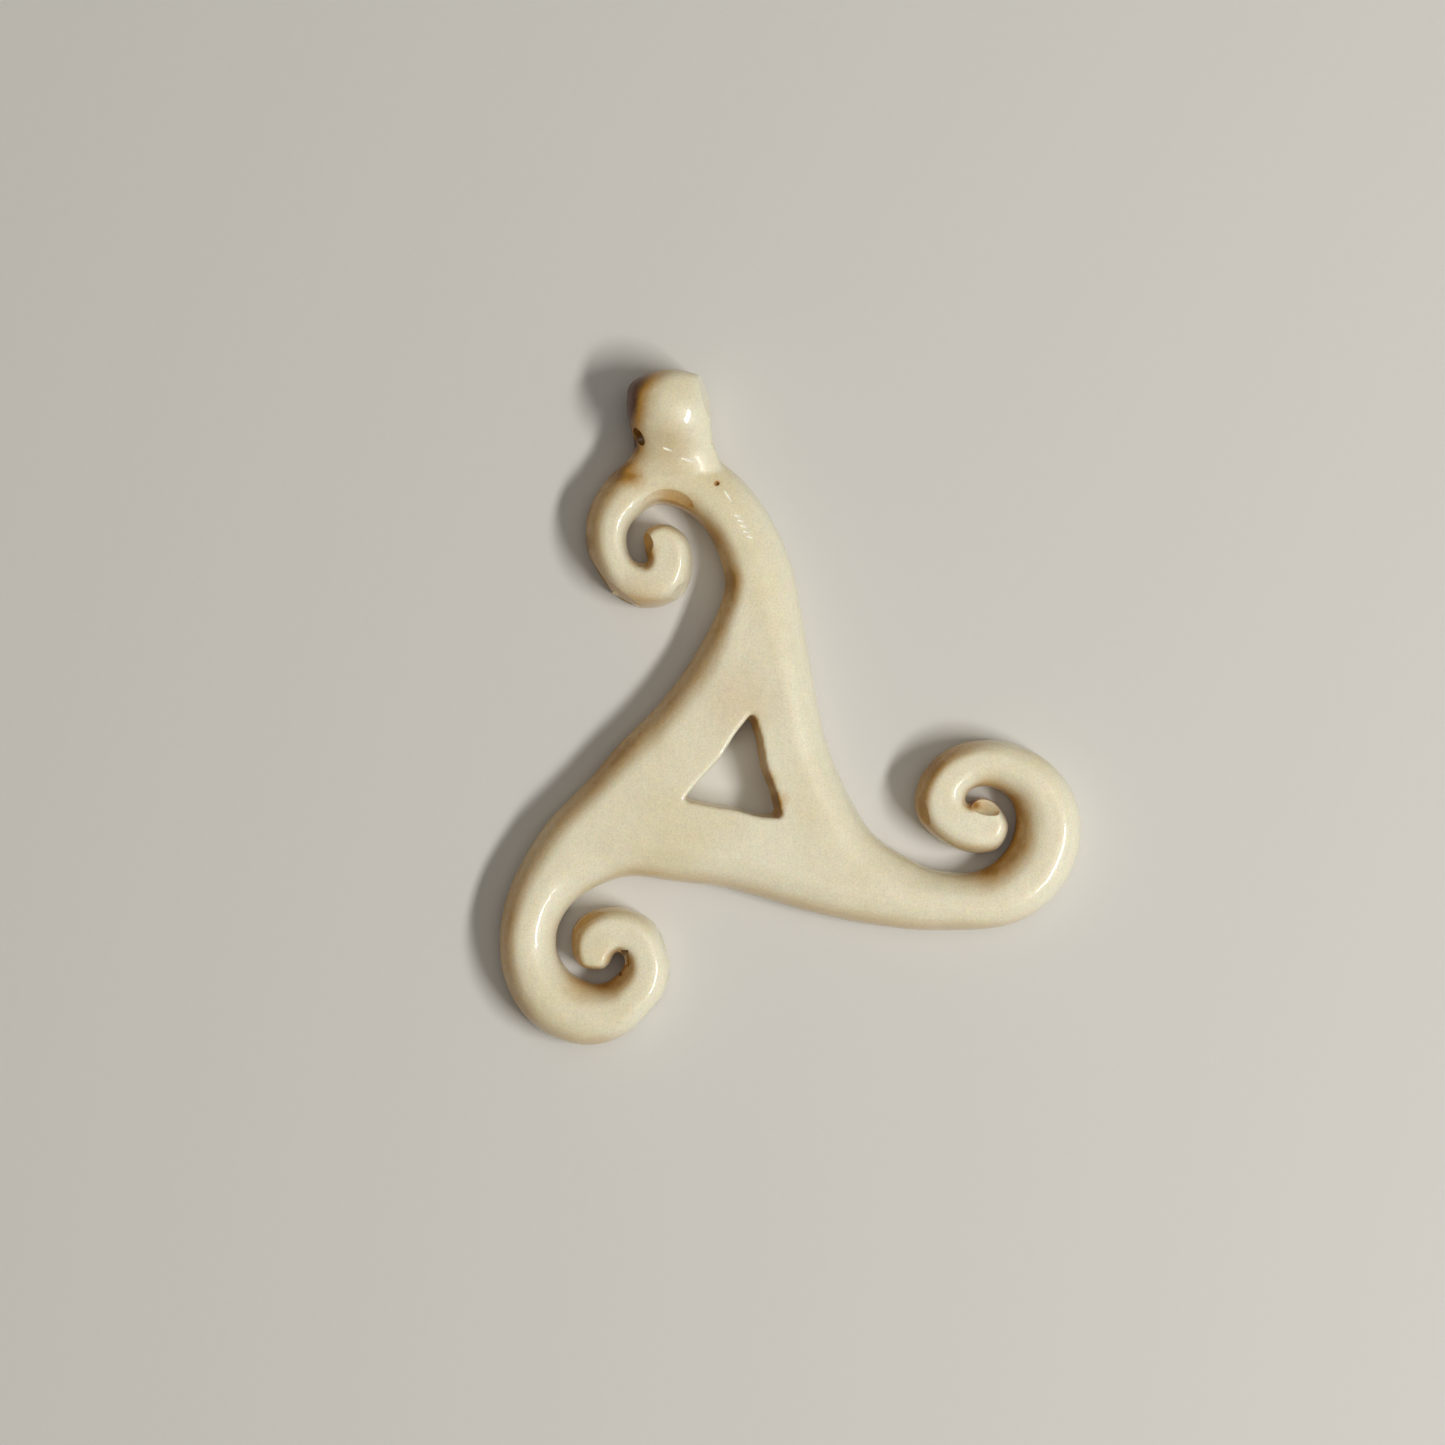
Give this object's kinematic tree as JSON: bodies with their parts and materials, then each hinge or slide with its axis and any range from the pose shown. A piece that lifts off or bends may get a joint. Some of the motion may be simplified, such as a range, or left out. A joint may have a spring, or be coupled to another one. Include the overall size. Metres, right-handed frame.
{
  "type": "triskele pendant",
  "caption": "Flat triskele pendant carved from bone, with coiled arms, a triangle pierced through its hub and a hanging knob drilled from side to side for a cord.",
  "frame": {"origin": "middle of the footprint on the flat back, on the surface that the pendant lies on", "axes": "+X to the right and +Y up to the hanging knob as the carved front is seen, +Z out of the carved front"},
  "size_m": [0.043, 0.0498, 0.0062],
  "materials": {
    "bone": "polished, cream with warm brown in the recesses"
  },
  "bodies": {
    "root": {"triskele_pendant": "bone"}
  },
  "joints": []
}
